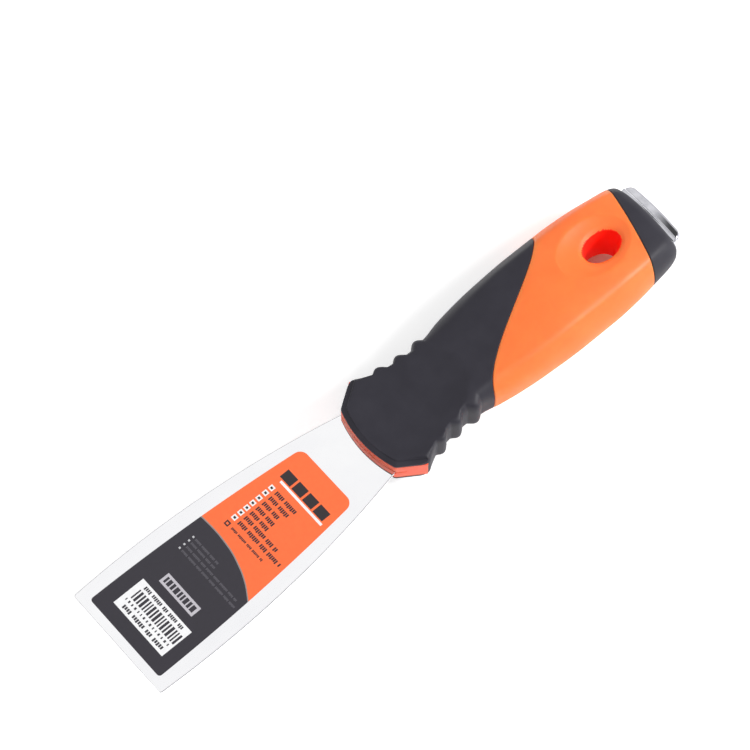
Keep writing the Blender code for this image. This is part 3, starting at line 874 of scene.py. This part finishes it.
def make_front_grip():
    nose = spaced(GRIP_FRONT_X, RIB_ZONE_X[0], GRIP_FRONT_SPACING)
    rings = [ring(at(x)) for x in nose + spaced(*RIB_ZONE_X, RIB_ZONE_SPACING)[1:]]
    rings += blend_rings(at(RIB_ZONE_X[1]), shifted(seam_x, -SEAM_ROUND - SEAM_GAP / 2), RIBS_TO_SEAM_STEPS)
    rings += rounded_end(seam_x, -1)
    grip = form("front_grip_fine", rings)
    cut(grip, ("INTERSECT", nose_clip("nose_shape")), ("DIFFERENCE", core_form("room_for_core", SEAM_GAP)),
        ("DIFFERENCE", nose_plate("room_for_nose", SEAM_GAP)))
    smooth(grip)
    return grip


def make_rear_grip():
    end = HANDLE_END_X - END_ROUND
    rings = rounded_end(rear_seam_x, 1)[::-1]
    rings += blend_rings(shifted(rear_seam_x, SEAM_ROUND + SEAM_GAP / 2), at(end), REAR_GRIP_STEPS)
    for turn in quarter_turn(END_ROUND_STEPS):
        rings.append(ring(at(end + END_ROUND * math.sin(turn)), END_ROUND * (1 - math.cos(turn))))
    grip = form("rear_grip_fine", rings)
    room = cap_block("room_for_cap", CAP_FRONT_X, SEAM_GAP)
    cut(grip, ("DIFFERENCE", core_form("room_for_core_end", SEAM_GAP)), ("DIFFERENCE", room))
    smooth(grip)
    return grip


# ---------- hammer cap ----------

def cap_section(x, grow):
    """One upright section of the cap: crowned above and below, with rounded edges and corners."""
    half = CAP_HALF_WIDTH - corner_drop(CAP_END_X - x, CAP_CORNER) + grow
    height = CAP_HALF_HEIGHT - corner_drop(CAP_END_X - x, CAP_EDGE) + grow
    height -= CAP_SLOPE * max(0.0, x - CAP_BEAD_X + CAP_BEAD_LENGTH)
    height += CAP_BEAD * math.exp(-((x - CAP_BEAD_X) / CAP_BEAD_LENGTH) ** 2)
    across = np.linspace(half - CAP_EDGE, CAP_EDGE - half, CAP_CROWN_STEPS + 1)
    top = [(y, height - CAP_CROWN * (y / half) ** 2) for y in across]
    low = top[0][1] - CAP_EDGE
    corner = [(half - CAP_EDGE + CAP_EDGE * math.cos(a), low + CAP_EDGE * math.sin(a))
              for a in quarter_turn(CAP_EDGE_STEPS)[:-1]]
    upper = corner + top + [(-y, z) for y, z in reversed(corner)]
    return [(x, y, z) for y, z in upper + [(y, -z) for y, z in reversed(upper)]]


def cap_block(name, front, grow=0.0):
    places = spaced(front, CAP_END_X - CAP_CORNER, CAP_SPACING)
    places += [CAP_END_X - CAP_CORNER * (1 - math.sin(a)) for a in quarter_turn(CAP_CORNER_STEPS)[1:]]
    return loft(name, [cap_section(x, grow) for x in places])


def make_butt_cap():
    cap = cap_block("butt_cap_fine", CAP_FRONT_X + SEAM_GAP)
    inner_width, inner_height = CAP_HALF_WIDTH - CAP_WALL, CAP_HALF_HEIGHT - CAP_WALL
    cut(cap, ("DIFFERENCE", block("cap_cavity", (BLOCK_START_X, CAP_FLOOR_X), inner_width, inner_height)))
    smooth(cap, CAP_SMOOTH_ANGLE)
    return cap


# ---------- materials ----------

def set_range(node, from_range, to_range):
    """Sets what a Map Range node reads from and turns it into."""
    sockets = ("From Min", "From Max", "To Min", "To Max")
    for socket, value in zip(sockets, (*from_range, *to_range)):
        node.inputs[socket].default_value = value


def add_drift(nodes, links, place, colours, gloss_range, scale):
    """Lets colour and roughness drift together with noise."""
    shader = nodes["Principled BSDF"]
    noise = nodes.new("ShaderNodeTexNoise")
    noise.inputs["Scale"].default_value = scale
    noise.inputs["Detail"].default_value = NOISE_DETAIL
    links.new(place.outputs["Object"], noise.inputs["Vector"])
    tint = nodes.new("ShaderNodeValToRGB")
    for element, position, colour in zip(tint.color_ramp.elements, TINT_RANGE, colours):
        element.position = position
        element.color = (*colour, 1.0)
    links.new(noise.outputs["Fac"], tint.inputs["Fac"])
    links.new(tint.outputs["Color"], shader.inputs["Base Color"])
    gloss = nodes.new("ShaderNodeMapRange")
    set_range(gloss, GLOSS_RANGE, gloss_range)
    links.new(noise.outputs["Fac"], gloss.inputs["Value"])
    links.new(gloss.outputs["Result"], shader.inputs["Roughness"])


def add_bump(nodes, links, place, scale, distance, stretch, strength):
    """A fine grain in relief. Its stretch below 1 along an axis draws it out along that axis."""
    grain = nodes.new("ShaderNodeTexNoise")
    grain.inputs["Scale"].default_value = scale
    grain.inputs["Detail"].default_value = GRAIN_DETAIL
    drawn = nodes.new("ShaderNodeMapping")
    drawn.inputs["Scale"].default_value = stretch
    raised = nodes.new("ShaderNodeBump")
    raised.inputs["Strength"].default_value = strength
    raised.inputs["Distance"].default_value = distance
    links.new(place.outputs["Object"], drawn.inputs["Vector"])
    links.new(drawn.outputs["Vector"], grain.inputs["Vector"])
    links.new(grain.outputs["Fac"], raised.inputs["Height"])
    links.new(raised.outputs["Normal"], nodes["Principled BSDF"].inputs["Normal"])


def surface(name, colour, other, roughness, spread, scale, bump=None, **fixed):
    """A material that drifts between two colours. bump is (scale, distance, stretch, strength)."""
    made = bpy.data.materials.new(name)
    made.use_nodes = True
    nodes, links = made.node_tree.nodes, made.node_tree.links
    place = nodes.new("ShaderNodeTexCoord")
    add_drift(nodes, links, place, (colour, other), (roughness - spread, roughness + spread), scale)
    if bump:
        add_bump(nodes, links, place, *bump)
    for socket, value in fixed.items():
        nodes["Principled BSDF"].inputs[socket.replace("_", " ")].default_value = value
    return made


def make_steels():
    blade = surface("blade_steel", (0.94, 0.94, 0.95), (0.90, 0.90, 0.92), 0.07, 0.03, 60.0,
                    (900.0, 0.00001, (0.08, 1.0, 1.0), 0.08), Metallic=1.0)
    # Ground edge steel, painted far darker than steel: a painted shade line along the blade's edges
    ground = surface("ground_edge_painted_shade", (0.10, 0.10, 0.11), (0.16, 0.16, 0.17), 0.45, 0.08, 400.0, Metallic=1.0)
    cap = surface("cap_polish", (0.66, 0.66, 0.70), (0.56, 0.56, 0.60), 0.13, 0.05, 300.0,
                  (1400.0, 0.00003, (1.0, 0.15, 1.0), 0.2), Metallic=1.0)
    return (blade, ground), cap


def make_oranges():
    """The body's plastic, the hole's wall, painted deeper red and glowing as painted light that comes through
    and between its walls, and the nose band, a redder copy of the body's orange as painted shade.
    """
    grain = (5000.0, 0.00003, EVEN, 0.25)
    body = surface("moulded_orange", (0.93, 0.185, 0.028), (0.90, 0.165, 0.022), 0.50, 0.05, 90.0, grain,
                   Subsurface_Weight=0.5, Subsurface_Scale=0.008, Subsurface_Radius=RED_DEPTHS,
                   Specular_IOR_Level=0.5)
    # The hole's wall: deeper red than the body, with a red emission, painted light that stands for light
    # coming through and bouncing between its walls
    hole = surface("hole_wall_painted_glow", (1.0, 0.03, 0.012), (0.95, 0.02, 0.01), 0.42, 0.05, 90.0,
                   Subsurface_Weight=0.3, Subsurface_Scale=0.005, Subsurface_Radius=RED_DEPTHS,
                   Emission_Color=(1.0, 0.004, 0.002, 1.0), Emission_Strength=0.09, Specular_IOR_Level=0.15)
    # The nose band: a redder copy of the body's orange, painted shade for how the band's front looks turned
    # away from the light
    band = surface("nose_band_painted_shade", (0.98, 0.11, 0.04), (0.94, 0.09, 0.03), 0.45, 0.05, 90.0, grain,
                   Subsurface_Weight=0.5, Subsurface_Scale=0.006, Subsurface_Radius=RED_DEPTHS)
    return body, hole, band


def make_rubber():
    return surface("moulded_rubber", (0.012, 0.0105, 0.019), (0.017, 0.0155, 0.025), 0.55, 0.02, 140.0,
                   (3800.0, 0.00005, EVEN, 0.35), Specular_IOR_Level=0.4)


def make_inks():
    return [surface(f"ink_{name}", colour, tuple(c * INK_DRIFT for c in colour), 0.38, 0.05, 900.0,
                    (2600.0, 0.00001, EVEN, 0.15), Coat_Weight=0.1) for name, colour in INKS.items()]


# ---------- surroundings ----------

def lobe(nodes, links, place, centre, spread, values):
    """A smooth round patch of the sky: values outside and inside the two angles of spread."""
    toward = nodes.new("ShaderNodeVectorMath")
    toward.operation = "DOT_PRODUCT"
    toward.inputs[1].default_value = Vector(centre).normalized()
    fade = nodes.new("ShaderNodeMapRange")
    fade.interpolation_type = "SMOOTHSTEP"
    set_range(fade, [math.cos(math.radians(angle)) for angle in spread], values)
    links.new(place.outputs["Generated"], toward.inputs[0])
    links.new(toward.outputs["Value"], fade.inputs["Value"])
    return fade.outputs["Result"]


def make_world():
    """White overhead, dimmer towards the horizon, with one dark card that the cap reflects."""
    world = bpy.data.worlds.new("studio")
    bpy.context.scene.world = world
    world.use_nodes = True
    nodes, links = world.node_tree.nodes, world.node_tree.links
    place = nodes.new("ShaderNodeTexCoord")
    product = nodes.new("ShaderNodeMath")
    product.operation = "MULTIPLY"
    links.new(lobe(nodes, links, place, SKY_CENTRE, SKY_SPREAD, SKY), product.inputs[0])
    links.new(lobe(nodes, links, place, DARK_CARD, CARD_SPREAD, CARD_LIGHT), product.inputs[1])
    links.new(product.outputs["Value"], nodes["Background"].inputs["Strength"])
    nodes["Background"].inputs["Color"].default_value = WHITE


def make_key_lamp():
    lamp = bpy.data.lights.new("key", "AREA")
    lamp.shape = "DISK"
    lamp.size = KEY_LAMP_SIZE
    lamp.energy = KEY_LAMP_WATTS
    holder = bpy.data.objects.new("key", lamp)
    holder.location = KEY_LAMP_PLACE
    holder.rotation_euler = (-Vector(KEY_LAMP_PLACE)).to_track_quat("-Z", "Y").to_euler()
    bpy.context.scene.collection.objects.link(holder)


def shade_floor(pale):
    """A painted shadow: no glow comes from the floor straight below the hanging hole."""
    nodes, links = pale.node_tree.nodes, pale.node_tree.links
    place = nodes.new("ShaderNodeTexCoord")
    away = nodes.new("ShaderNodeVectorMath")
    away.operation = "DISTANCE"
    away.inputs[1].default_value = (HOLE_X * MM + TO_FRAME.x, 0.0, 0.0)
    fade = nodes.new("ShaderNodeMapRange")
    fade.interpolation_type = "SMOOTHSTEP"
    set_range(fade, FLOOR_SHADE, (0.0, FLOOR_GLOW))
    links.new(place.outputs["Object"], away.inputs[0])
    links.new(away.outputs["Value"], fade.inputs["Value"])
    links.new(fade.outputs["Result"], nodes["Principled BSDF"].inputs["Emission Strength"])


def make_floor():
    made = bmesh.new()
    bmesh.ops.create_grid(made, x_segments=1, y_segments=1, size=FLOOR_HALF)
    mesh = bpy.data.meshes.new("floor")
    made.to_mesh(mesh)
    made.free()
    floor = bpy.data.objects.new("floor", mesh)
    bpy.context.scene.collection.objects.link(floor)
    pale = surface("pale_floor", (0.94, 0.94, 0.94), (0.93, 0.93, 0.93), 0.9, 0.02, 3.0,
                   Specular_IOR_Level=0.1, Emission_Color=WHITE)
    shade_floor(pale)
    floor.data.materials.append(pale)


def make_camera():
    camera = bpy.data.cameras.new("camera")
    camera.lens = LENS
    camera.clip_start = CLIP_START
    holder = bpy.data.objects.new("camera", camera)
    eye = Vector(CAMERA_FROM) * MM + TO_FRAME
    aim = Vector(CAMERA_AT) * MM + TO_FRAME
    holder.location = eye
    holder.rotation_euler = (aim - eye).to_track_quat("-Z", "Y").to_euler()
    bpy.context.scene.collection.objects.link(holder)
    bpy.context.scene.camera = holder


def main():
    blade_steels, cap_steel = make_steels()
    rubber = make_rubber()
    show(make_blade(), "blade", "polished_steel", *blade_steels)
    show(make_label(), "blade_label", "printed_label", *make_inks())
    show(make_core(), "handle_core", "orange_plastic", *make_oranges())
    show(make_front_grip(), "front_grip", "black_rubber", rubber)
    show(make_rear_grip(), "rear_grip", "black_rubber", rubber)
    show(make_butt_cap(), "butt_cap", "cap_steel", cap_steel)
    make_world()
    make_floor()
    make_key_lamp()
    make_camera()
    bpy.context.scene.view_settings.view_transform = "Standard"


main()
